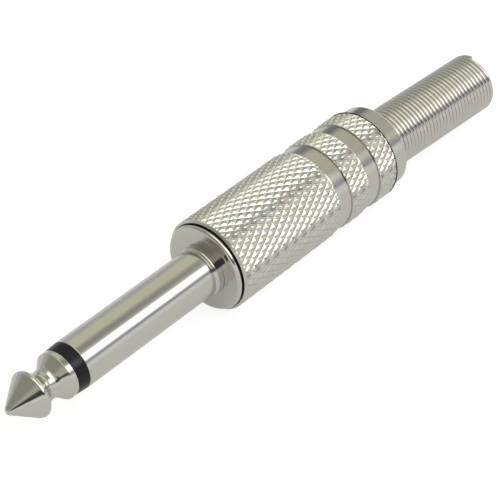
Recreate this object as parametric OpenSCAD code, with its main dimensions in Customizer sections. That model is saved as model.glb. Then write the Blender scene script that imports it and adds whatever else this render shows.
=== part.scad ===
// Mono jack plug, quarter-inch size, with a knurled metal shell and a coiled cable guard.
// The plug lies along X: the tip points to -X and the cable leaves towards +X.
// The origin is on the axis, at the front face of the flange.

/* [Tip] */
// Length of the tip from the black ring to its point
tip_len = 8.5; // [7.5:0.1:10]
// How far the land at the back of the tip lies under the sleeve's surface
tip_base_step = 0.125; // [0.05:0.005:0.25]
// Width of that land
tip_base_w = 0.75; // [0.4:0.05:1.2]
// Diameter of the neck that the jack's spring drops into
neck_d = 3.8; // [3.2:0.1:4.4]
// Radius of the hollows at both ends of the neck
neck_fillet = 1.3; // [0.4:0.1:1.5]
// Diameter at which the nose cone would meet the back of the head
head_d = 6.3; // [5.8:0.05:6.4]
// Rounding of the head's widest edge
head_round = 0.5; // [0.2:0.05:0.6]
// Half angle of the nose cone
nose_angle = 36; // [33:1:40]
// Radius of the rounded point
nose_r = 0.65; // [0.3:0.05:0.9]
// Angle of the back of the head to the axis
head_back_angle = 45; // [40:1:60]
// Angle of the flare from the neck to the land
flare_angle = 42; // [38:1:60]

/* [Black ring] */
// Width of the ring between tip and sleeve
ring_w = 1.7; // [1.2:0.1:2.4]
// How far the ring's edges lie under the metal on both sides
ring_inset = 0.01; // [0:0.005:0.05]
// Length of the ring's spigot inside the sleeve
ring_spigot_len = 2; // [1:0.1:4]

/* [Sleeve] */
// Diameter of the sleeve, which is the size of the plug
sleeve_d = 6.35; // [6.3:0.01:6.4]
// Length of the sleeve in front of the flange
sleeve_len = 22.8; // [20:0.1:26]
// Wall of the sleeve
sleeve_wall = 0.925; // [0.7:0.025:1.1]
// Height of the collar at the root of the sleeve
collar_step = 0.2; // [0.1:0.05:0.4]
// Length of the collar
collar_len = 1.25; // [0.8:0.05:2]
// Length of the taper at the front of the collar
collar_taper = 0.35; // [0.1:0.05:0.6]
// Depth that the collar is let into the flange
collar_seat = 0.15; // [0.05:0.05:0.3]
// How far the spigot that holds flange and terminal lies under the sleeve's surface
spigot_step = 0.175; // [0.1:0.025:0.4]
// Height of the rolled rim behind the terminal, over the spigot
rim_step = 0.45; // [0.25:0.05:0.6]
// Thickness of the rolled rim
rim_t = 0.4; // [0.3:0.05:0.8]

/* [Flange and thread] */
// Width of the flange's lip around the seat
flange_lip = 0.35; // [0.1:0.05:0.5]
// Thickness of the flange
flange_t = 0.5; // [0.4:0.05:1]
// Rounding of the flange's front edge
flange_round = 0.4; // [0.1:0.05:0.4]
// Width of the seat that the shell is screwed down on
seat_w = 0.45; // [0.2:0.05:0.45]
// Depth of the dark groove between flange and shell
seat_gap = 0.28; // [0.1:0.02:0.5]
// Radial gap between the two threads
thread_gap = 0.05; // [0.02:0.01:0.2]
// Pitch of the thread
thread_pitch = 0.75; // [0.5:0.05:1]
// Length of the threaded boss
boss_len = 6; // [4:0.1:8]
// Width of the plain groove at the foot of the thread
undercut_w = 0.6; // [0.3:0.05:1]
// Depth of that groove
undercut_depth = 0.3; // [0.1:0.05:0.5]

/* [Centre contact] */
// Diameter of the rod that joins the tip to its terminal
rod_d = 2; // [1.6:0.1:2.4]
// Depth of the rod inside the tip
rod_grip = 3; // [2:0.1:4]
// Diameter of the riveted head
rivet_d = 3.2; // [2.8:0.1:3.6]
// Height of the riveted head
rivet_h = 0.7; // [0.4:0.05:1]
// Rounding of the riveted head
rivet_round = 0.55; // [0.1:0.05:0.6]
// How far the washer that insulates the centre terminal lies inside the rolled rim
washer_step = 0.15; // [0:0.05:0.4]
// Thickness of that washer
washer_t = 1.3; // [0.8:0.1:2]
// Height of the ribs that keep the centre terminal from turning
rib_h = 0.4; // [0.2:0.05:0.8]
// Width of those ribs
rib_w = 0.6; // [0.4:0.05:0.8]

/* [Terminals] */
// Sheet thickness of the sleeve terminal
lug_t = 0.5; // [0.4:0.05:0.7]
// Radial gap between the sleeve terminal's ring and the liner
lug_ring_gap = 0.5; // [0.3:0.05:0.8]
// Width of its tongue
lug_tongue_w = 2.8; // [2:0.1:3]
// Inner radius of its bend
lug_bend_r = 0.4; // [0.2:0.05:0.5]
// Radial gap between the tongue's underside and the liner
lug_gap = 0.4; // [0.3:0.05:0.5]
// Length from the ring to the cable clamp
lug_reach = 9.7; // [8:0.1:12]
// Diameter of the hole for the braid
lug_hole_d = 1.3; // [0.8:0.1:1.6]
// Distance from the axis down to the middle of the clamp's trough
clamp_sink = 1; // [0.8:0.1:1.4]
// Length of the cable clamp along the cable
clamp_len = 5.5; // [4:0.1:7]
// Height of the clamp's ears above the axis
ear_top = 1.9; // [1.6:0.1:2.4]
// Rounding of the ears' corners
ear_round = 0.9; // [0.3:0.1:1.2]
// Sheet thickness of the centre terminal
tag_t = 0.4; // [0.3:0.05:0.6]
// Diameter of the centre terminal's ring
tag_ring_d = 4.4; // [4:0.1:5]
// Width of the centre terminal's tongue
tag_w = 2.2; // [1.8:0.1:2.6]
// Inner radius of the centre terminal's bend
tag_bend_r = 0.3; // [0.2:0.05:0.5]
// Distance from the axis to the top of the centre terminal
tag_rise = 3; // [2.8:0.1:3.4]
// Length of the centre terminal's tongue behind its ring
tag_len = 6.4; // [5:0.1:7]
// Diameter of the solder hole
tag_hole_d = 1.3; // [0.8:0.1:1.5]

/* [Shell] */
// Diameter of the shell over the knurling
shell_d = 12.5; // [12.4:0.1:14]
// Depth of the smooth bands under the crests of the knurling
band_step = 0.28; // [0.15:0.01:0.35]
// Depth of the smooth rear end under the crests of the knurling
rear_step = 0.5; // [0.3:0.05:0.7]
// Length of the bevel at the front edge
front_bevel = 0.2; // [0.1:0.05:0.4]
// Length of the long knurled part
knurl_1_len = 18.2; // [15:0.1:22]
// Width of the first smooth band
band_1_w = 2.3; // [1.5:0.1:3]
// Length of the second knurled part
knurl_2_len = 3.5; // [2.5:0.1:5]
// Width of the second smooth band
band_2_w = 2.25; // [1.5:0.05:3]
// Length of the third knurled part
knurl_3_len = 3.4; // [2.5:0.1:5]
// Length of the smooth rear end
rear_len = 2.8; // [2:0.1:4]
// Rounding of the rear edge
rear_round = 0.35; // [0.1:0.05:0.5]
// Wall between the wide part of the bore and the crests of the knurling
shell_wall = 0.95; // [0.8:0.05:1.1]
// Height of the threaded part over the wide part of the bore
shell_thread_h = 0.3; // [0.2:0.05:0.5]
// Length of that hole
guard_hole_len = 2.85; // [2:0.05:3.2]
// Radial gap between that hole and the cable guard
guard_hole_gap = 0.32; // [0.25:0.01:0.5]

/* [Cable guard] */
// Radial gap between the wide turns inside the shell and its bore
flare_gap = 0.45; // [0.3:0.05:0.6]
// Radial step from the wide turns to the coil behind the shell
flare_step = 0.77; // [0.6:0.01:0.9]
// Wire diameter
wire_d = 0.67; // [0.55:0.01:0.8]
// Gap between two turns
wire_gap = 0.015; // [0.01:0.005:0.05]
// Length of the guard behind the shell
guard_reach = 21.6; // [15:0.1:30]
// Distance from the narrowing turn to the hole that the guard comes through
neck_clear = 0.17; // [0.1:0.01:0.4]
// Number of wide turns inside the shell
flare_turns = 2; // [1:1:3]
// Lean of the guard out of the shell's axis
guard_lean = 2.2; // [0:0.1:2.5]
// Direction of the lean, turned from straight down
guard_lean_side = -51.5; // [-90:0.5:90]

/* [Liner] */
// Wall of the insulating liner
liner_wall = 0.4; // [0.3:0.05:0.4]

/* [Fits] */
// Radial gap between pieces that are pressed or riveted together
fit_gap = 0.03; // [0.02:0.005:0.05]
// Radial gap between liner and shell
liner_gap = 0.1; // [0.05:0.01:0.15]
// Axial room at both ends of the liner
liner_play = 0.4; // [0.2:0.05:0.8]

/* [Edges] */
// Rounding of fine machined edges
fine_edge = 0.08; // [0.04:0.01:0.1]
// Rounding of broken edges
broken_edge = 0.15; // [0.1:0.05:0.2]

/* [Hidden] */
$fn = 64;

// Radii of the shell and what fits in it, from the outside inwards
knurl_r = shell_d / 2;
band_r = knurl_r - band_step;
rear_r = knurl_r - rear_step;
bore_r = knurl_r - shell_wall;
shell_thread_r = bore_r - shell_thread_h;
thread_r = shell_thread_r - thread_gap;
seat_r = shell_thread_r + seat_w;
flange_r = seat_r + flange_lip;
liner_r = bore_r - liner_gap;
liner_inner_r = liner_r - liner_wall;
lug_ring_r = liner_inner_r - lug_ring_gap;
lug_drop = liner_inner_r - lug_gap;
clamp_r = lug_drop - lug_t - clamp_sink;

// Radii of the finger and what is riveted to it
sleeve_r = sleeve_d / 2;
tip_base_r = sleeve_r - tip_base_step;
collar_r = sleeve_r + collar_step;
sleeve_bore_r = sleeve_r - sleeve_wall;
spigot_r = sleeve_r - spigot_step;
spigot_hole_r = spigot_r + fit_gap;
rim_r = spigot_r + rim_step;
washer_r = rim_r - washer_step;
rod_hole_r = rod_d / 2 + fit_gap;

// Stations along the axis
ring_x = -sleeve_len;
tip_x = ring_x - ring_w;
seat_x = flange_t + seat_gap;
boss_x = seat_x + boss_len;
rim_x = boss_x + lug_t;
washer_x = rim_x + rim_t;
tag_x = washer_x + washer_t;
rivet_x = tag_x + tag_t;
clamp_x = boss_x + lug_reach;
knurl_1_x = seat_x + front_bevel;
band_1_x = knurl_1_x + knurl_1_len;
knurl_2_x = band_1_x + band_1_w;
band_2_x = knurl_2_x + knurl_2_len;
knurl_3_x = band_2_x + band_2_w;
rear_x = knurl_3_x + knurl_3_len;
shell_end = rear_x + rear_len;
guard_hole_x = shell_end - guard_hole_len;

// The guard's helix
wire_r = wire_d / 2;
guard_pitch = wire_d + wire_gap;
flare_r = bore_r - flare_gap - wire_r;
guard_r = flare_r - flare_step;
guard_hole_r = guard_r + wire_r + guard_hole_gap;
neck_turns = 1;
neck_end_x = guard_hole_x - neck_clear;
flare_x = neck_end_x - (flare_turns + neck_turns) * guard_pitch;
guard_turns = (shell_end + guard_reach - wire_r - flare_x) / guard_pitch;
turn_steps = 16;
wire_sides = 6;
liner_end = flare_x - wire_r - liner_play / 2;

steel = [0.78, 0.78, 0.74];
black = [0.08, 0.08, 0.1];
fibre = [0.42, 0.2, 0.12];
clear_plastic = [0.85, 0.88, 0.85];

// Unit vector along v
function unit(v) = v / norm(v);

// The points of an arc of radius r that rounds the corner b between a and c
function corner(a, b, c, r, n) =
    let (
        u = unit(a - b),
        v = unit(c - b),
        half = acos(u * v) / 2,
        m = b + unit(u + v) * r / sin(half),
        p = b + u * r / tan(half) - m,
        q = b + v * r / tan(half) - m,
        start = atan2(p[1], p[0]),
        turn = (atan2(q[1], q[0]) - start + 540) % 360 - 180
    )
    [for (i = [0:n]) m + r * [cos(start + turn * i / n), sin(start + turn * i / n)]];

// A closed outline from points [radius, station, rounding]
function rounded(points, n = 6) =
    let (count = len(points), flat = [for (p = points) [p[0], p[1]]])
    [for (i = [0:count - 1])
        each points[i][2] > 0
            ? corner(flat[(i + count - 1) % count], flat[i], flat[(i + 1) % count], points[i][2], n)
            : [flat[i]]];

// A body of revolution about X from an outline of [radius, station] points
module turned(outline) {
    rotate([0, 90, 0])
        rotate_extrude()
            polygon(outline);
}

// A sheet-metal bend of a quarter turn, from a ring that stands across X to a tongue along X
module quarter_bend(inner_r, t, w) {
    rotate([90, 0, 0])
        translate([0, 0, -w / 2])
            rotate([0, 0, 90])
                rotate_extrude(angle = 90)
                    translate([inner_r, 0])
                        square([t, w]);
}

// Nose cone, head, neck and land turned in one piece, bored for the rod
module tip() {
    head_r = head_d / 2;
    neck_r = neck_d / 2;
    apex = tip_x - tip_len;
    nose_centre = apex + nose_r;
    head_x = nose_centre - nose_r / sin(nose_angle) + head_r / tan(nose_angle);
    neck_front = head_x + (head_r - neck_r) / tan(head_back_angle);
    neck_back = tip_x - tip_base_w - (tip_base_r - neck_r) / tan(flare_angle);
    nose = [for (i = [0:6])
        let (a = (90 - nose_angle) * i / 6)
        [nose_r * sin(a), nose_centre - nose_r * cos(a)]];
    body = rounded([
        [0, nose_centre, 0],
        [nose[6][0], nose[6][1], 0],
        [head_r, head_x, head_round],
        [neck_r, neck_front, neck_fillet],
        [neck_r, neck_back, neck_fillet],
        [tip_base_r, tip_x - tip_base_w, broken_edge],
        [tip_base_r, tip_x, fine_edge],
        [rod_hole_r, tip_x, 0],
        [rod_hole_r, tip_x - rod_grip, 0],
        [0, tip_x - rod_grip, 0]]);
    color(steel)
        turned(concat([for (i = [0:5]) nose[i]], [for (i = [1:len(body) - 1]) body[i]]));
}

// The black ring that parts tip and sleeve, with its spigot in the sleeve's bore
module tip_insulator() {
    color(black)
        turned(rounded([
            [rod_hole_r, tip_x, 0],
            [tip_base_r - ring_inset, tip_x, fine_edge],
            [sleeve_r - ring_inset, ring_x, fine_edge],
            [sleeve_bore_r - fit_gap, ring_x, 0],
            [sleeve_bore_r - fit_gap, ring_x + ring_spigot_len, 0],
            [rod_hole_r, ring_x + ring_spigot_len, 0]]));
}

// The rod that carries the tip's signal to the centre terminal, riveted over at the back
module centre_rod() {
    color(steel)
        turned(rounded([
            [0, tip_x - rod_grip, 0],
            [rod_d / 2, tip_x - rod_grip, 0],
            [rod_d / 2, rivet_x, 0],
            [rivet_d / 2, rivet_x, 0],
            [rivet_d / 2, rivet_x + rivet_h, rivet_round],
            [0, rivet_x + rivet_h, 0]]));
}

// The plastic tube around the rod
module insulating_tube() {
    color(clear_plastic)
        turned([
            [rod_hole_r, ring_x + ring_spigot_len],
            [sleeve_bore_r - fit_gap, ring_x + ring_spigot_len],
            [sleeve_bore_r - fit_gap, washer_x],
            [rod_hole_r, washer_x]]);
}

// The sleeve with its collar, and the spigot that is rolled over the terminal
module sleeve_shaft() {
    color(steel)
        turned(rounded([
            [sleeve_bore_r, ring_x, 0],
            [sleeve_r, ring_x, fine_edge],
            [sleeve_r, -collar_len, 0],
            [collar_r, -collar_len + collar_taper, fine_edge],
            [collar_r, collar_seat, 0],
            [spigot_r, collar_seat, 0],
            [spigot_r, rim_x, 0],
            [rim_r, rim_x, 0],
            [rim_r, washer_x, broken_edge],
            [sleeve_bore_r, washer_x, 0]]));
}

// The flange and the threaded boss that the shell screws on to
module threaded_flange() {
    bevel = thread_pitch / 2;
    color(steel)
        turned(rounded([
            [collar_r + fit_gap, 0, 0],
            [flange_r, 0, flange_round],
            [flange_r, flange_t, fine_edge],
            [seat_r, flange_t, 0],
            [seat_r, seat_x, 0],
            [thread_r - undercut_depth, seat_x, 0],
            [thread_r - undercut_depth, seat_x + undercut_w, 0],
            [thread_r, seat_x + undercut_w + undercut_depth, 0],
            [thread_r, boss_x - bevel, 0],
            [thread_r - bevel, boss_x, 0],
            [spigot_hole_r, boss_x, 0],
            [spigot_hole_r, collar_seat, 0],
            [collar_r + fit_gap, collar_seat, 0]]));
}

// The insulating washer behind the sleeve, with two ribs beside the centre terminal
module rear_washer() {
    rib_y = tag_w / 2 + 2 * fit_gap;
    rib_z = sqrt(pow(tag_ring_d / 2, 2) - pow(tag_w / 2, 2)) + 2 * fit_gap;
    color(black) {
        turned(rounded([
            [rod_hole_r, washer_x, 0],
            [washer_r, washer_x, broken_edge],
            [washer_r, tag_x, broken_edge],
            [rod_hole_r, tag_x, 0]]));
        intersection() {
            for (side = [-1, 1])
                translate([tag_x - rib_h, side * (rib_y + rib_w / 2) - rib_w / 2, rib_z])
                    cube([2 * rib_h, rib_w, washer_r]);
            translate([tag_x - rib_h, 0, 0])
                rotate([0, 90, 0])
                    cylinder(h = 2 * rib_h, r = washer_r - broken_edge);
        }
    }
}

// One ear of the cable clamp, seen from the side and rounded at its upper corners
module clamp_ear(root_z) {
    translate([0, 0, root_z])
        rotate([90, 0, 0])
            linear_extrude(height = lug_t)
                union() {
                    square([clamp_len, ear_top - root_z - ear_round]);
                    translate([ear_round, 0])
                        square([clamp_len - 2 * ear_round, ear_top - root_z]);
                    for (x = [ear_round, clamp_len - ear_round])
                        translate([x, ear_top - root_z - ear_round])
                            circle(r = ear_round);
                }
}

// The sleeve's solder terminal: a ring on the spigot, a bent tongue and the cable clamp
module sleeve_terminal() {
    bend_z = lug_drop - lug_t - lug_bend_r;
    trough_z = -clamp_sink;
    hole_x = (rim_x + lug_bend_r + clamp_x) / 2;
    color(steel) {
        difference() {
            intersection() {
                translate([boss_x, 0, 0])
                    rotate([0, 90, 0])
                        cylinder(h = lug_t, r = lug_ring_r);
                translate([boss_x, -lug_ring_r, -bend_z])
                    cube([lug_t, 2 * lug_ring_r, 2 * lug_ring_r]);
            }
            translate([boss_x - lug_t, 0, 0])
                rotate([0, 90, 0])
                    cylinder(h = 3 * lug_t, r = spigot_hole_r);
        }
        translate([rim_x + lug_bend_r, 0, -bend_z])
            mirror([0, 0, 1])
                quarter_bend(lug_bend_r, lug_t, lug_tongue_w);
        difference() {
            translate([rim_x + lug_bend_r, -lug_tongue_w / 2, -lug_drop])
                cube([clamp_x + clamp_len / 2 - rim_x - lug_bend_r, lug_tongue_w, lug_t]);
            translate([hole_x, 0, -lug_drop - lug_t])
                cylinder(h = 3 * lug_t, d = lug_hole_d);
        }
        difference() {
            translate([clamp_x, 0, trough_z])
                rotate([0, 90, 0])
                    cylinder(h = clamp_len, r = clamp_r + lug_t);
            translate([clamp_x - lug_t, 0, trough_z])
                rotate([0, 90, 0])
                    cylinder(h = clamp_len + 2 * lug_t, r = clamp_r);
            translate([clamp_x - lug_t, -2 * clamp_r, trough_z])
                cube([clamp_len + 2 * lug_t, 4 * clamp_r, 2 * clamp_r]);
        }
        for (side = [-1, 1])
            translate([clamp_x, side * (clamp_r + lug_t / 2) + lug_t / 2, 0])
                clamp_ear(trough_z);
    }
}

// The centre terminal: a ring on the rod and a tongue with a solder hole
module centre_terminal() {
    bend_z = tag_rise - tag_t - tag_bend_r;
    tongue_x = rivet_x + tag_bend_r;
    tongue_end = rivet_x + tag_len;
    color(steel) {
        difference() {
            union() {
                translate([tag_x, 0, 0])
                    rotate([0, 90, 0])
                        cylinder(h = tag_t, d = tag_ring_d);
                translate([tag_x, -tag_w / 2, 0])
                    cube([tag_t, tag_w, bend_z]);
            }
            translate([tag_x - tag_t, 0, 0])
                rotate([0, 90, 0])
                    cylinder(h = 3 * tag_t, r = rod_hole_r);
        }
        translate([tongue_x, 0, bend_z])
            quarter_bend(tag_bend_r, tag_t, tag_w);
        difference() {
            union() {
                translate([tongue_x, -tag_w / 2, tag_rise - tag_t])
                    cube([tongue_end - tag_w / 2 - tongue_x, tag_w, tag_t]);
                translate([tongue_end - tag_w / 2, 0, tag_rise - tag_t])
                    cylinder(h = tag_t, d = tag_w);
            }
            translate([tongue_end - tag_w / 2 - tag_hole_d / 2, 0, tag_rise - 2 * tag_t])
                cylinder(h = 3 * tag_t, d = tag_hole_d);
        }
    }
}

// The shell: thread, wide bore, cone seat and hole inside; knurled parts and smooth bands outside
module shell() {
    thread_end = boss_x + liner_play / 2;
    color(steel)
        turned(rounded([
            [shell_thread_r, seat_x, 0],
            [band_r - front_bevel, seat_x, 0],
            [knurl_r, knurl_1_x, 0],
            [knurl_r, band_1_x, 0],
            [band_r, band_1_x, 0],
            [band_r, knurl_2_x, 0],
            [knurl_r, knurl_2_x, 0],
            [knurl_r, band_2_x, 0],
            [band_r, band_2_x, 0],
            [band_r, knurl_3_x, 0],
            [knurl_r, knurl_3_x, 0],
            [knurl_r, rear_x, 0],
            [rear_r, rear_x, 0],
            [rear_r, shell_end, rear_round],
            [guard_hole_r, shell_end, broken_edge],
            [guard_hole_r, guard_hole_x, 0],
            [bore_r, guard_hole_x - (bore_r - guard_hole_r), 0],
            [bore_r, thread_end, 0],
            [shell_thread_r, thread_end, 0]]));
}

// The centre of the guard's wire after n turns: its distance from the axis
function guard_radius(n) =
    n < flare_turns ? flare_r
    : n > flare_turns + neck_turns ? guard_r
    : flare_r + (guard_r - flare_r) * (n - flare_turns) / neck_turns;

// One cross-section of the wire after n turns
function wire_section(n) =
    let (a = 360 * n, r = guard_radius(n), x = flare_x + n * guard_pitch)
    [for (k = [0:wire_sides - 1])
        let (
            b = 360 * k / wire_sides,
            radial = r + wire_r * cos(b)
        )
        [x + wire_r * sin(b), radial * cos(a), radial * sin(a)]];

// The close-wound wire that guards the cable, with wide turns that the shell holds
module cable_guard() {
    steps = floor(guard_turns * turn_steps);
    points = [for (i = [0:steps]) each wire_section(i / turn_steps)];
    last = steps * wire_sides;
    sides = [for (i = [0:steps - 1], k = [0:wire_sides - 1])
        let (
            a = i * wire_sides + k,
            b = i * wire_sides + (k + 1) % wire_sides,
            c = b + wire_sides,
            d = a + wire_sides
        )
        each [[a, b, c], [a, c, d]]];
    front = [[for (k = [wire_sides - 1:-1:0]) k]];
    back = [[for (k = [0:wire_sides - 1]) last + k]];
    pivot = [flare_x + flare_turns * guard_pitch, 0, 0];
    color(steel)
        translate(pivot)
            rotate([guard_lean_side, 0, 0])
                rotate([0, guard_lean, 0])
                    translate(-pivot)
                        polyhedron(points = points, faces = concat(sides, front, back), convexity = 10);
}

// The plastic liner that keeps the terminals off the shell
module liner() {
    color(clear_plastic)
        turned([
            [liner_inner_r, rim_x],
            [liner_r, rim_x],
            [liner_r, liner_end],
            [liner_inner_r, liner_end]]);
}

tip();
tip_insulator();
centre_rod();
insulating_tube();
sleeve_shaft();
threaded_flange();
rear_washer();
sleeve_terminal();
centre_terminal();
shell();
cable_guard();
liner();
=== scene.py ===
import math

import bmesh
import bpy
from mathutils import Matrix, Vector


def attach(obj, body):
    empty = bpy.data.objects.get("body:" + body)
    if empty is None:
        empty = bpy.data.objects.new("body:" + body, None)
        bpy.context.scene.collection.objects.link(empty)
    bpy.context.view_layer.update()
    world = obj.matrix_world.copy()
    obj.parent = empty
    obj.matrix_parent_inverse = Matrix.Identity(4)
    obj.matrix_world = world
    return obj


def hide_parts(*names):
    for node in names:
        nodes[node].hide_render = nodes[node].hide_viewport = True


mm = 0.001
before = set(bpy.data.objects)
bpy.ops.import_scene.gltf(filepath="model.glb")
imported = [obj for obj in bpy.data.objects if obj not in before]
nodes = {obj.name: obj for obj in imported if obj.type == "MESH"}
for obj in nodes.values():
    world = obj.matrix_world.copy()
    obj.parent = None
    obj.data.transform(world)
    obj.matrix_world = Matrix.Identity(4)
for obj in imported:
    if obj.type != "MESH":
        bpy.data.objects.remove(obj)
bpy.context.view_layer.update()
print("frame loaded")


# Shader node groups

def newGroup(name, inputs, outputs):
    group = bpy.data.node_groups.new(name, "ShaderNodeTree")
    for label, kind, value in inputs:
        socket = group.interface.new_socket(name=label, in_out="INPUT", socket_type=kind)
        socket.default_value = value
    for label, kind in outputs:
        group.interface.new_socket(name=label, in_out="OUTPUT", socket_type=kind)
    start = group.nodes.new("NodeGroupInput")
    end = group.nodes.new("NodeGroupOutput")
    return group, start, end


def addNode(tree, kind, label, **settings):
    node = tree.nodes.new(kind)
    node.label = label
    for name, value in settings.items():
        setattr(node, name, value)
    return node


def link(tree, source, target):
    tree.links.new(source, target)


def mathNode(tree, operation, label, first, second=None, third=None):
    node = addNode(tree, "ShaderNodeMath", label, operation=operation)
    for socket, value in zip(node.inputs, (first, second, third)):
        if value is None:
            continue
        if isinstance(value, (int, float)):
            socket.default_value = value
        else:
            link(tree, value, socket)
    return node.outputs[0]


def smoothStep(tree, label, value, low, high):
    node = addNode(tree, "ShaderNodeMapRange", label, interpolation_type="SMOOTHSTEP")
    for name, source in (("Value", value), ("From Min", low), ("From Max", high)):
        if isinstance(source, (int, float)):
            node.inputs[name].default_value = source
        else:
            link(tree, source, node.inputs[name])
    return node.outputs["Result"]


# Fine marks that run round X, and a cloud for uneven gloss
def makeTurningMarks():
    number = "NodeSocketFloat"
    group, start, end = newGroup(
        "turningMarks",
        [("Lines", number, 4000.0), ("Around", number, 60.0)],
        [("Marks", number), ("Cloud", number)],
    )
    place = addNode(group, "ShaderNodeTexCoord", "place")
    parts = addNode(group, "ShaderNodeSeparateXYZ", "parts")
    link(group, place.outputs["Object"], parts.inputs[0])
    stretched = addNode(group, "ShaderNodeCombineXYZ", "stretched place")
    stretches = (("along", "Lines"), ("across y", "Around"), ("across z", "Around"))
    for index, (label, amount) in enumerate(stretches):
        scaled = mathNode(group, "MULTIPLY", label, parts.outputs[index], start.outputs[amount])
        link(group, scaled, stretched.inputs[index])
    lines = addNode(group, "ShaderNodeTexNoise", "turned lines")
    lines.inputs["Scale"].default_value = 1.0
    lines.inputs["Detail"].default_value = 3.0
    link(group, stretched.outputs[0], lines.inputs["Vector"])
    cloud = addNode(group, "ShaderNodeTexNoise", "handling haze")
    cloud.inputs["Scale"].default_value = 260.0
    cloud.inputs["Detail"].default_value = 3.0
    link(group, place.outputs["Object"], cloud.inputs["Vector"])
    link(group, lines.outputs["Fac"], end.inputs["Marks"])
    link(group, cloud.outputs["Fac"], end.inputs["Cloud"])
    return group


# Mask of one light card: a soft patch by its angle round X and its place along X
def makeCardMask():
    number = "NodeSocketFloat"
    group, start, end = newGroup(
        "cardMask",
        [
            ("Angle", number, 0.0),
            ("Along", number, 0.0),
            ("Centre", number, 0.0),
            ("Half Width", number, 10.0),
            ("Softness", number, 4.0),
            ("From", number, -1.0),
            ("To", number, 1.0),
            ("End Softness", number, 0.04),
        ],
        [("Mask", number)],
    )
    offset = mathNode(group, "SUBTRACT", "offset", start.outputs["Angle"], start.outputs["Centre"])
    wrapped = mathNode(group, "WRAP", "wrapped offset", offset, 180.0, -180.0)
    distance = mathNode(group, "ABSOLUTE", "distance", wrapped)
    inner = mathNode(group, "SUBTRACT", "inner edge", start.outputs["Half Width"], start.outputs["Softness"])
    outer = mathNode(group, "ADD", "outer edge", start.outputs["Half Width"], start.outputs["Softness"])
    across = mathNode(group, "SUBTRACT", "across", 1.0, smoothStep(group, "edge", distance, inner, outer))
    soft = start.outputs["End Softness"]
    fromLow = mathNode(group, "SUBTRACT", "start low", start.outputs["From"], soft)
    fromHigh = mathNode(group, "ADD", "start high", start.outputs["From"], soft)
    toLow = mathNode(group, "SUBTRACT", "end low", start.outputs["To"], soft)
    toHigh = mathNode(group, "ADD", "end high", start.outputs["To"], soft)
    begun = smoothStep(group, "begun", start.outputs["Along"], fromLow, fromHigh)
    ended = smoothStep(group, "ended", start.outputs["Along"], toLow, toHigh)
    notEnded = mathNode(group, "SUBTRACT", "not ended", 1.0, ended)
    length = mathNode(group, "MULTIPLY", "length", begun, notEnded)
    link(group, mathNode(group, "MULTIPLY", "mask", across, length), end.inputs["Mask"])
    return group


turningMarks = makeTurningMarks()
cardMask = makeCardMask()


# Materials

def makeMetal(name, look):
    material = bpy.data.materials.new(name)
    material.use_nodes = True
    tree = material.node_tree
    shader = tree.nodes["Principled BSDF"]
    shader.inputs["Base Color"].default_value = (*look["base"], 1.0)
    shader.inputs["Metallic"].default_value = 1.0
    marks = addNode(tree, "ShaderNodeGroup", "turning marks", node_tree=turningMarks)
    marks.inputs["Lines"].default_value = look["lines"]
    marks.inputs["Around"].default_value = look["around"]
    uneven = mathNode(tree, "MULTIPLY", "uneven", marks.outputs["Cloud"], look["haze"])
    rough = mathNode(tree, "ADD", "roughness", uneven, look["roughness"])
    link(tree, rough, shader.inputs["Roughness"])
    bump = addNode(tree, "ShaderNodeBump", "fine lines")
    bump.inputs["Strength"].default_value = 1.0
    bump.inputs["Distance"].default_value = look["depth"]
    link(tree, marks.outputs["Marks"], bump.inputs["Height"])
    link(tree, bump.outputs["Normal"], shader.inputs["Normal"])
    return material


def makePlastic(name, look):
    material = bpy.data.materials.new(name)
    material.use_nodes = True
    tree = material.node_tree
    shader = tree.nodes["Principled BSDF"]
    shader.inputs["Base Color"].default_value = (*look["base"], 1.0)
    shader.inputs["IOR"].default_value = look["ior"]
    shader.inputs["Subsurface Weight"].default_value = look["milk"]
    shader.inputs["Subsurface Scale"].default_value = look["milkDepth"]
    marks = addNode(tree, "ShaderNodeGroup", "moulded surface", node_tree=turningMarks)
    marks.inputs["Lines"].default_value = look["lines"]
    marks.inputs["Around"].default_value = look["lines"]
    uneven = mathNode(tree, "MULTIPLY", "uneven", marks.outputs["Marks"], look["haze"])
    rough = mathNode(tree, "ADD", "roughness", uneven, look["roughness"])
    link(tree, rough, shader.inputs["Roughness"])
    return material


metalLooks = {
    "nickelTurned": {
        "base": (0.62, 0.61, 0.575),
        "roughness": 0.08,
        "haze": 0.05,
        "lines": 5200.0,
        "around": 60.0,
        "depth": 0.0000012,
    },
    "nickelKnurled": {
        "base": (0.62, 0.61, 0.575),
        "roughness": 0.11,
        "haze": 0.08,
        "lines": 5200.0,
        "around": 90.0,
        "depth": 0.0000012,
    },
    "nickelWire": {
        "base": (0.62, 0.61, 0.58),
        "roughness": 0.10,
        "haze": 0.10,
        "lines": 900.0,
        "around": 900.0,
        "depth": 0.0000015,
    },
    "tinnedSheet": {
        "base": (0.70, 0.69, 0.66),
        "roughness": 0.22,
        "haze": 0.14,
        "lines": 700.0,
        "around": 700.0,
        "depth": 0.000002,
    },
    "rodSteel": {
        "base": (0.58, 0.58, 0.56),
        "roughness": 0.18,
        "haze": 0.10,
        "lines": 3000.0,
        "around": 60.0,
        "depth": 0.0000012,
    },
    # Dark metal that paints the shade in the gap between flange and shell
    "gapShadeMetal": {
        "base": (0.16, 0.155, 0.15),
        "roughness": 0.35,
        "haze": 0.10,
        "lines": 2400.0,
        "around": 60.0,
        "depth": 0.000003,
    },
}
plasticLooks = {
    "blackPlastic": {
        "base": (0.004, 0.004, 0.010),
        "ior": 1.36,
        "milk": 0.0,
        "milkDepth": 0.0006,
        "roughness": 0.2,
        "haze": 0.12,
        "lines": 900.0,
    },
    "milkyPlastic": {
        "base": (0.72, 0.73, 0.70),
        "ior": 1.46,
        "milk": 0.35,
        "milkDepth": 0.0006,
        "roughness": 0.30,
        "haze": 0.12,
        "lines": 500.0,
    },
}
materials = {name: makeMetal(name, look) for name, look in metalLooks.items()}
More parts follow.
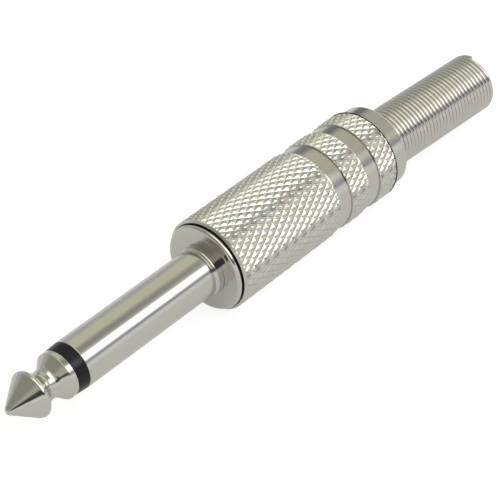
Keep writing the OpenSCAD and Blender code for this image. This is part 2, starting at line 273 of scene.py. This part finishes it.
materials.update({name: makePlastic(name, look) for name, look in plasticLooks.items()})
print("materials made")


# Shapes, with sizes in millimetres
meshing = {
    "supportSetback": 0.03,
    "supportedLength": 0.3,
    "mergeDistance": 0.0005,
    "tolerance": 0.01,
}


# Faces inside a piece's painted-shade stretch get a dark metal: painted shade for the gap behind the flange
def addPiece(name, mesh, material, body, replaced, sharpAngle=32.0, paintedGapShade=None):
    bmesh.ops.recalc_face_normals(mesh, faces=mesh.faces)
    data = bpy.data.meshes.new(name)
    mesh.to_mesh(data)
    mesh.free()
    data.shade_smooth()
    data.set_sharp_from_angle(angle=math.radians(sharpAngle))
    data.materials.append(material)
    if paintedGapShade is not None:
        data.materials.append(materials["gapShadeMetal"])
        for face in data.polygons:
            radius = math.hypot(face.center.y, face.center.z) / mm
            if paintedGapShade["from"] < face.center.x / mm < paintedGapShade["to"] and radius < paintedGapShade["inside"]:
                face.material_index = 1
    piece = bpy.data.objects.new(name, data)
    bpy.context.scene.collection.objects.link(piece)
    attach(piece, body)
    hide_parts(replaced)
    print(name, len(data.polygons), "faces")


# A point near each end of a long straight run keeps the run's smooth shading straight
def addSupports(mesh):
    support = meshing["supportSetback"] * mm
    for edge in mesh.edges[:]:
        length = edge.calc_length()
        if length < meshing["supportedLength"] * mm:
            continue
        first, second = edge.verts
        added = bmesh.utils.edge_split(edge, first, support / length)[1]
        rest = next(other for other in added.link_edges if second in other.verts)
        bmesh.utils.edge_split(rest, second, support / rest.calc_length())


# An outline's points are (x, radius) or (x, radius, setback of the rounding)
def turnedMesh(outline, steps, closed, segments=5):
    mesh = bmesh.new()
    verts = [mesh.verts.new((corner[0] * mm, 0.0, corner[1] * mm)) for corner in outline]
    for first, second in zip(verts, verts[1:]):
        mesh.edges.new((first, second))
    if closed:
        mesh.edges.new((verts[-1], verts[0]))
    for vert, corner in zip(verts, outline):
        if len(corner) > 2:
            bmesh.ops.bevel(
                mesh,
                geom=[vert],
                offset=corner[2] * mm,
                offset_type="OFFSET",
                segments=segments,
                profile=0.5,
                affect="VERTICES",
                material=-1,
            )
    addSupports(mesh)
    bmesh.ops.spin(
        mesh,
        geom=mesh.verts[:] + mesh.edges[:],
        cent=(0.0, 0.0, 0.0),
        axis=(1.0, 0.0, 0.0),
        dvec=(0.0, 0.0, 0.0),
        angle=math.tau,
        steps=steps,
        use_merge=True,
        use_normal_flip=False,
        use_duplicate=False,
    )
    bmesh.ops.remove_doubles(mesh, verts=mesh.verts, dist=meshing["mergeDistance"] * mm)
    return mesh


# Even places from start to end
def stations(start, end, spacing):
    count = max(1, round((end - start) / spacing))
    return [start + (end - start) * i / count for i in range(count + 1)]


# Tip: nose cone, head, neck and land
tipShape = {
    "outline": [
        (-33.0, 0.0),
        (-33.0, 0.3312, 0.329),
        (-29.07, 3.20, 0.44),
        (-27.87, 1.9, 0.54),
        (-26.527, 1.9, 0.50),
        (-25.25, 3.05, 0.03),
        (-24.5, 3.05, 0.08),
        (-24.5, 1.03),
        (-27.5, 1.03),
        (-27.5, 0.0),
    ],
    "steps": 160,
    "segments": 8,
    "sharpAngle": 28.0,
}
tipMesh = turnedMesh(tipShape["outline"], tipShape["steps"], False, tipShape["segments"])
addPiece("tipTurned", tipMesh, materials["nickelTurned"], "plug", "tip", tipShape["sharpAngle"])

# Black ring between tip and sleeve
ringShape = {
    "outline": [
        (-24.5, 1.03),
        (-24.5, 3.04, 0.06),
        (-22.8, 3.165, 0.06),
        (-22.8, 2.22),
        (-20.8, 2.22),
        (-20.8, 1.03),
    ],
    "steps": 128,
}
ringMesh = turnedMesh(ringShape["outline"], ringShape["steps"], True)
addPiece("ringMoulded", ringMesh, materials["blackPlastic"], "plug", "tip_insulator")

# Sleeve with its collar and riveted spigot
sleeveShape = {
    "outline": [
        (-22.8, 2.25),
        (-22.8, 3.175, 0.08),
        (-1.25, 3.175),
        (-0.90, 3.375, 0.06),
        (0.15, 3.375),
        (0.15, 3.0),
        (7.28, 3.0),
        (7.28, 3.45),
        (7.68, 3.45, 0.15),
        (7.68, 2.25),
    ],
    "steps": 160,
}
sleeveMesh = turnedMesh(sleeveShape["outline"], sleeveShape["steps"], True)
addPiece("sleeveTurned", sleeveMesh, materials["nickelTurned"], "plug", "sleeve_shaft")

# Flange and threaded boss. A thread depth below zero cuts towards the axis
flangeShape = {
    "front": [
        (0.0, 3.405),
        (0.0, 5.80, 0.40),
        (0.5, 5.80, 0.08),
        (0.5, 5.45),
        (0.78, 5.45),
        (0.78, 4.65),
        (1.38, 4.65),
    ],
    "back": [(6.78, 4.575), (6.78, 3.03), (0.15, 3.03), (0.15, 3.405)],
    "threadFrom": 1.68,
    "threadTo": 6.405,
    "threadRadius": 4.95,
    "threadDepth": -0.32,
    "threadRow": 0.0625,
    "threadFade": 0.4,
    "threadCrest": 1.15,
    "pitch": 0.75,
    "steps": 128,
    "segments": 8,
    # Painted shade on the flange's back face and seat, in the gap before the shell
    "paintedGapShade": {"from": 0.49, "to": 0.77, "inside": 5.75},
}


# Zero at whole numbers and one halfway between them
def triangleWave(value):
    return 2.0 * abs(value - math.floor(value + 0.5))


def cutThread(mesh, shape):
    margin = meshing["tolerance"]
    for vert in mesh.verts:
        x = vert.co.x / mm
        radius = math.hypot(vert.co.y, vert.co.z)
        inZone = shape["threadFrom"] + margin < x < shape["threadTo"] - margin
        if not inZone or abs(radius / mm - shape["threadRadius"]) > margin:
            continue
        turn = math.atan2(vert.co.z, vert.co.y) / math.tau
        wave = min(1.0, shape["threadCrest"] * triangleWave(x / shape["pitch"] - turn))
        fromEnd = min(x - shape["threadFrom"], shape["threadTo"] - x)
        change = shape["threadDepth"] * wave * min(1.0, fromEnd / shape["threadFade"])
        scale = (radius + change * mm) / radius
        vert.co.y *= scale
        vert.co.z *= scale


def threadOutline(shape):
    rows = stations(shape["threadFrom"], shape["threadTo"], shape["threadRow"])
    return [(x, shape["threadRadius"]) for x in rows]


flangeOutline = flangeShape["front"] + threadOutline(flangeShape) + flangeShape["back"]
flangeMesh = turnedMesh(flangeOutline, flangeShape["steps"], True, flangeShape["segments"])
cutThread(flangeMesh, flangeShape)
addPiece(
    "flangeThreaded",
    flangeMesh,
    materials["nickelTurned"],
    "plug",
    "threaded_flange",
    paintedGapShade=flangeShape["paintedGapShade"],
)

# Shell with diamond knurling and smooth bands
shellShape = {
    "mouth": [(0.78, 5.30), (0.78, 5.92)],
    "starts": 38,
    "stepsPerStart": 8,
    "rowsPerDiamond": 8,
    "diamondLength": 1.745,
    "knurlDepth": 0.20,
    "crestShare": 1.18,
    "edgeDrop": 0.13,
    "edgeWidth": 0.2,
    "crestRadius": 6.25,
    "knurlZones": [(0.98, 19.18), (21.48, 24.98), (27.23, 30.63)],
    "bands": [(21.48, 5.97), (27.23, 5.97)],
    "rear": [(30.63, 5.75), (33.43, 5.75, 0.33), (33.43, 4.40, 0.15), (30.58, 4.40), (29.68, 5.30)],
    "threadFrom": 1.2,
    "threadTo": 6.98,
    "threadRunOut": (6.98, 5.30),
    "threadRadius": 5.0,
    "threadDepth": 0.24,
    "threadRow": 0.09375,
    "threadFade": 0.4,
    "threadCrest": 1.15,
    "pitch": 0.75,
    "segments": 6,
    "sharpAngle": 24.0,
    # Painted shade on the shell's front face, in the gap behind the flange
    "paintedGapShade": {"from": 0.77, "to": 0.785, "inside": 5.93},
}
rowSpacing = shellShape["diamondLength"] / shellShape["rowsPerDiamond"]
knurlRows = [stations(start, end, rowSpacing) for start, end in shellShape["knurlZones"]]
knurlOutlines = [[(x, shellShape["crestRadius"]) for x in rows] for rows in knurlRows]
shellOutline = list(shellShape["mouth"])
for outline, (bandEnd, bandRadius) in zip(knurlOutlines, shellShape["bands"]):
    shellOutline += outline + [(outline[-1][0], bandRadius), (bandEnd, bandRadius)]
shellOutline += knurlOutlines[-1] + shellShape["rear"] + [shellShape["threadRunOut"]]
shellOutline += reversed(threadOutline(shellShape))
shellSteps = shellShape["starts"] * shellShape["stepsPerStart"]
shellMesh = turnedMesh(shellOutline, shellSteps, True, shellShape["segments"])


# Two crossed sets of grooves leave diamonds, which fade into a plain edge at each zone's ends
def cutKnurl(mesh, shape, spacing):
    margin = meshing["tolerance"]
    for vert in mesh.verts:
        x = vert.co.x / mm
        radius = math.hypot(vert.co.y, vert.co.z)
        if abs(radius / mm - shape["crestRadius"]) > margin:
            continue
        around = shape["starts"] * math.atan2(vert.co.z, vert.co.y) / math.tau
        for start, end in shape["knurlZones"]:
            if start - margin < x < end + margin:
                rows = round((end - start) / spacing)
                along = (x - start) / (end - start) * rows / shape["rowsPerDiamond"]
                height = min(triangleWave(around + along), triangleWave(around - along))
                height = min(1.0, shape["crestShare"] * height)
                drop = shape["knurlDepth"] * (1.0 - height)
                inside = min(1.0, (x - start) / shape["edgeWidth"], (end - x) / shape["edgeWidth"])
                drop = shape["edgeDrop"] + (drop - shape["edgeDrop"]) * max(0.0, inside)
                scale = 1.0 - drop * mm / radius
                vert.co.y *= scale
                vert.co.z *= scale


cutKnurl(shellMesh, shellShape, rowSpacing)
cutThread(shellMesh, shellShape)
bmesh.ops.triangulate(
    shellMesh,
    faces=[face for face in shellMesh.faces if len(face.verts) == 4],
    quad_method="SHORT_EDGE",
)
addPiece(
    "shellKnurled",
    shellMesh,
    materials["nickelKnurled"],
    "shell",
    "shell",
    shellShape["sharpAngle"],
    shellShape["paintedGapShade"],
)

# Cable guard: one wire, wide turns inside the shell and a straight coil behind it
guardShape = {
    "wireRadius": 0.335,
    "pitch": 0.68405,
    "firstX": 28.355,
    "turns": 38.375,
    "wideTurns": 2.0,
    "narrowingTurns": 1.0,
    "wideRadius": 4.515,
    "coilRadius": 3.745,
    "stepsPerTurn": 48,
    "sides": 14,
    "pivotTurn": 2.0,
    "lean": 2.2,
    "leanSide": -51.5,
    "sharpAngle": 50.0,
}


def guardRadius(shape, turn):
    share = (turn - shape["wideTurns"]) / shape["narrowingTurns"]
    share = max(0.0, min(1.0, share))
    return shape["wideRadius"] + (shape["coilRadius"] - shape["wideRadius"]) * share


# Each point knows its turn from its angle and its place along X
def widenTurns(mesh, shape):
    for vert in mesh.verts:
        turnPart = math.atan2(vert.co.z, vert.co.y) / math.tau
        whole = round((vert.co.x / mm - shape["firstX"]) / shape["pitch"] - turnPart)
        shift = guardRadius(shape, whole + turnPart) - shape["coilRadius"]
        radius = math.hypot(vert.co.y, vert.co.z)
        scale = (radius + shift * mm) / radius
        vert.co.y *= scale
        vert.co.z *= scale


guardMesh = bmesh.new()
sectionPlace = Matrix.Translation(Vector((guardShape["firstX"] * mm, guardShape["coilRadius"] * mm, 0.0)))
bmesh.ops.create_circle(
    guardMesh,
    cap_ends=False,
    segments=guardShape["sides"],
    radius=guardShape["wireRadius"] * mm,
    matrix=sectionPlace,
)
guardSteps = round(guardShape["turns"] * guardShape["stepsPerTurn"])
guardAngle = math.tau * guardSteps / guardShape["stepsPerTurn"]
stepAlong = guardShape["pitch"] / guardShape["stepsPerTurn"]
bmesh.ops.spin(
    guardMesh,
    geom=guardMesh.verts[:] + guardMesh.edges[:],
    cent=(0.0, 0.0, 0.0),
    axis=(1.0, 0.0, 0.0),
    dvec=(stepAlong * mm, 0.0, 0.0),
    angle=guardAngle,
    steps=guardSteps,
    use_merge=False,
    use_normal_flip=False,
    use_duplicate=False,
)
bmesh.ops.holes_fill(guardMesh, edges=[edge for edge in guardMesh.edges if edge.is_boundary], sides=0)
widenTurns(guardMesh, guardShape)
pivotX = guardShape["firstX"] + guardShape["pivotTurn"] * guardShape["pitch"]
guardPivot = Vector((pivotX * mm, 0.0, 0.0))
leanTurn = Matrix.Rotation(math.radians(guardShape["leanSide"]), 3, "X")
leanTurn = leanTurn @ Matrix.Rotation(math.radians(guardShape["lean"]), 3, "Y")
bmesh.ops.rotate(guardMesh, verts=guardMesh.verts, cent=guardPivot, matrix=leanTurn)
addPiece(
    "guardCoil",
    guardMesh,
    materials["nickelWire"],
    "shell",
    "cable_guard",
    guardShape["sharpAngle"],
)

# Inner pieces kept from the frame
innerLooks = {
    "centre_rod": ("rodSteel", "rod_steel"),
    "insulating_tube": ("milkyPlastic", "white_plastic"),
    "rear_washer": ("blackPlastic", "black_plastic"),
    "sleeve_terminal": ("tinnedSheet", "tinned_sheet"),
    "centre_terminal": ("tinnedSheet", "tinned_sheet"),
    "liner": ("milkyPlastic", "white_plastic"),
}
for nodeName, (materialName, slotName) in innerLooks.items():
    piece = nodes[nodeName]
    piece.data.materials.clear()
    piece.data.materials.append(materials[materialName])
print("inner pieces finished")


# Studio
studio = {
    "floorZ": -0.00625,
    "floorRadius": 0.6,
    "floorSides": 96,
    "paper": (0.70, 0.70, 0.70),
    "surround": (0.72, 0.72, 0.66),
    "floorGlow": 1.32,
    "cameraShare": 0.66,
    "mirrorShare": 0.20,
    "lensAxis": (-0.60, -0.66, 0.45),
    "lensEdge": (0.972, 0.993),
    "lensDark": (0.06, 0.06, 0.065),
    "cardEndSoftness": 0.03,
}
# Light cards round the X axis, each laid over the ones before it: name, centre angle from +Y
# over +Z, half width and softness in degrees, start and end along X of the direction, colour
cards = [
    ("pale wall", 208.0, 60.0, 16.0, -1.2, 1.2, (0.84, 0.85, 0.82)),
    ("low wall", 50.0, 42.0, 14.0, -1.2, 0.44, (0.47, 0.48, 0.41)),
    ("upper wall", 55.0, 40.0, 14.0, 0.43, 0.60, (0.70, 0.71, 0.54)),
    ("far white", 335.0, 26.0, 12.0, -0.95, 0.42, (1.0, 1.0, 1.04)),
    ("far grey", 332.0, 26.0, 12.0, 0.42, 0.62, (0.55, 0.56, 0.60)),
    ("far wall", 10.0, 22.0, 10.0, -1.2, 0.60, (0.54, 0.55, 0.58)),
    ("nose shade", 70.0, 50.0, 14.0, -1.2, -0.25, (0.36, 0.36, 0.29)),
    ("nose wall", 128.0, 22.0, 14.0, -1.2, -0.25, (0.55, 0.52, 0.44)),
    ("window glow", 100.0, 28.0, 14.0, -0.25, 0.40, (1.0, 0.96, 0.86)),
    ("window", 106.0, 26.0, 14.0, -0.12, 0.24, (2.3, 2.2, 1.95)),
    ("ceiling gap", 97.0, 15.0, 12.0, 0.40, 0.585, (0.37, 0.355, 0.34)),
    ("back ceiling", 92.0, 48.0, 12.0, 0.585, 1.2, (0.66, 0.65, 0.49)),
    ("back shade", 121.0, 8.0, 8.0, 0.585, 1.2, (0.48, 0.47, 0.41)),
    ("back rose", 149.0, 7.0, 7.0, 0.585, 1.2, (0.50, 0.45, 0.42)),
    ("far back", 62.0, 48.0, 14.0, 0.66, 1.2, (0.40, 0.40, 0.36)),
    ("low shade", 20.0, 18.0, 14.0, 0.60, 1.2, (0.20, 0.20, 0.21)),
    ("end wall", 60.0, 100.0, 20.0, 0.75, 1.2, (0.95, 0.93, 0.80)),
    ("key light", 133.0, 12.0, 6.0, -0.10, 0.575, (3.0, 2.98, 2.9)),
    ("dark seam", 157.0, 4.5, 4.5, -0.85, 1.2, (0.36, 0.33, 0.46)),
    ("low seam", 156.0, 8.0, 5.0, -0.85, -0.08, (0.05, 0.05, 0.06)),
]

world = bpy.data.worlds.new("studioWorld")
bpy.context.scene.world = world
world.use_nodes = True
sky = world.node_tree
sky.nodes.clear()
skyOut = addNode(sky, "ShaderNodeOutputWorld", "world")
direction = addNode(sky, "ShaderNodeTexCoord", "direction")
skyParts = addNode(sky, "ShaderNodeSeparateXYZ", "direction parts")
link(sky, direction.outputs["Generated"], skyParts.inputs[0])
turnAngle = mathNode(sky, "ARCTAN2", "angle round X", skyParts.outputs[2], skyParts.outputs[1])
turnDegrees = mathNode(sky, "DEGREES", "degrees round X", turnAngle)
colour = None
for label, centre, halfWidth, softness, alongFrom, alongTo, tint in cards:
    mask = addNode(sky, "ShaderNodeGroup", label, node_tree=cardMask)
    link(sky, turnDegrees, mask.inputs["Angle"])
    link(sky, skyParts.outputs[0], mask.inputs["Along"])
    mask.inputs["Centre"].default_value = centre
    mask.inputs["Half Width"].default_value = halfWidth
    mask.inputs["Softness"].default_value = softness
    mask.inputs["From"].default_value = alongFrom
    mask.inputs["To"].default_value = alongTo
    mask.inputs["End Softness"].default_value = studio["cardEndSoftness"]
    mix = addNode(sky, "ShaderNodeMix", label + " mix", data_type="RGBA")
    link(sky, mask.outputs["Mask"], mix.inputs["Factor"])
    if colour is None:
        mix.inputs["A"].default_value = (*studio["surround"], 1.0)
    else:
        link(sky, colour, mix.inputs["A"])
    mix.inputs["B"].default_value = (*tint, 1.0)
    colour = mix.outputs["Result"]
towards = addNode(sky, "ShaderNodeVectorMath", "towards the lens", operation="DOT_PRODUCT")
link(sky, direction.outputs["Generated"], towards.inputs[0])
towards.inputs[1].default_value = studio["lensAxis"]
lensMask = smoothStep(sky, "dark round the lens", towards.outputs["Value"], *studio["lensEdge"])
lensMix = addNode(sky, "ShaderNodeMix", "lens mix", data_type="RGBA")
link(sky, lensMask, lensMix.inputs["Factor"])
link(sky, colour, lensMix.inputs["A"])
lensMix.inputs["B"].default_value = (*studio["lensDark"], 1.0)
studioLight = addNode(sky, "ShaderNodeBackground", "studio light")
link(sky, lensMix.outputs["Result"], studioLight.inputs["Color"])
whiteLight = addNode(sky, "ShaderNodeBackground", "white to the camera")
whiteLight.inputs["Color"].default_value = (1.0, 1.0, 1.0, 1.0)
whiteLight.inputs["Strength"].default_value = 1.0
rays = addNode(sky, "ShaderNodeLightPath", "rays")
chooser = addNode(sky, "ShaderNodeMixShader", "camera sees white")
link(sky, rays.outputs["Is Camera Ray"], chooser.inputs[0])
link(sky, studioLight.outputs[0], chooser.inputs[1])
link(sky, whiteLight.outputs[0], chooser.inputs[2])
link(sky, chooser.outputs[0], skyOut.inputs["Surface"])
print("studio light set")

floorMesh = bmesh.new()
bmesh.ops.create_circle(
    floorMesh,
    cap_ends=True,
    segments=studio["floorSides"],
    radius=studio["floorRadius"],
    matrix=Matrix.Translation(Vector((0.0, 0.0, studio["floorZ"]))),
)
floorData = bpy.data.meshes.new("studioFloor")
floorMesh.to_mesh(floorData)
floorMesh.free()
floor = bpy.data.objects.new("studioFloor", floorData)
bpy.context.scene.collection.objects.link(floor)
paper = bpy.data.materials.new("palePaper")
paper.use_nodes = True
paperTree = paper.node_tree
paperTree.nodes.clear()
paperOut = addNode(paperTree, "ShaderNodeOutputMaterial", "surface")
plainPaper = addNode(paperTree, "ShaderNodeBsdfDiffuse", "plain paper")
plainPaper.inputs["Color"].default_value = (*studio["paper"], 1.0)
glow = addNode(paperTree, "ShaderNodeEmission", "paper seen white")
glow.inputs["Color"].default_value = (1.0, 1.0, 1.0, 1.0)
glow.inputs["Strength"].default_value = studio["floorGlow"]
paperRays = addNode(paperTree, "ShaderNodeLightPath", "paper rays")
cameraRay = paperRays.outputs["Is Camera Ray"]
mirrorRay = paperRays.outputs["Is Glossy Ray"]
cameraShare = mathNode(paperTree, "MULTIPLY", "share for the camera", cameraRay, studio["cameraShare"])
mirrorShare = mathNode(paperTree, "MULTIPLY", "share in reflections", mirrorRay, studio["mirrorShare"])
glowShare = mathNode(paperTree, "MAXIMUM", "share of glow", cameraShare, mirrorShare)
seen = addNode(paperTree, "ShaderNodeMixShader", "glow over paper")
link(paperTree, glowShare, seen.inputs[0])
link(paperTree, plainPaper.outputs[0], seen.inputs[1])
link(paperTree, glow.outputs[0], seen.inputs[2])
link(paperTree, seen.outputs[0], paperOut.inputs["Surface"])
floorData.materials.append(paper)
print("floor laid")


# Camera
lens = {
    "place": (-0.130688, -0.120286, 0.149070),
    "right": (0.65353, -0.75690, 0.0),
    "up": (0.48098, 0.41529, 0.77214),
    "forward": (0.58443, 0.50461, -0.63546),
    "focal": 137.147,
    "sensor": 36.0,
    "clip": (0.01, 10.0),
}
cameraData = bpy.data.cameras.new("photoCamera")
cameraData.lens = lens["focal"]
cameraData.sensor_width = lens["sensor"]
cameraData.clip_start, cameraData.clip_end = lens["clip"]
camera = bpy.data.objects.new("photoCamera", cameraData)
bpy.context.scene.collection.objects.link(camera)
axes = Matrix((Vector(lens["right"]), Vector(lens["up"]), -Vector(lens["forward"]))).transposed()
camera.matrix_world = Matrix.Translation(Vector(lens["place"])) @ axes.to_4x4()
bpy.context.scene.camera = camera
bpy.context.scene.view_settings.view_transform = "Standard"
print("camera placed")
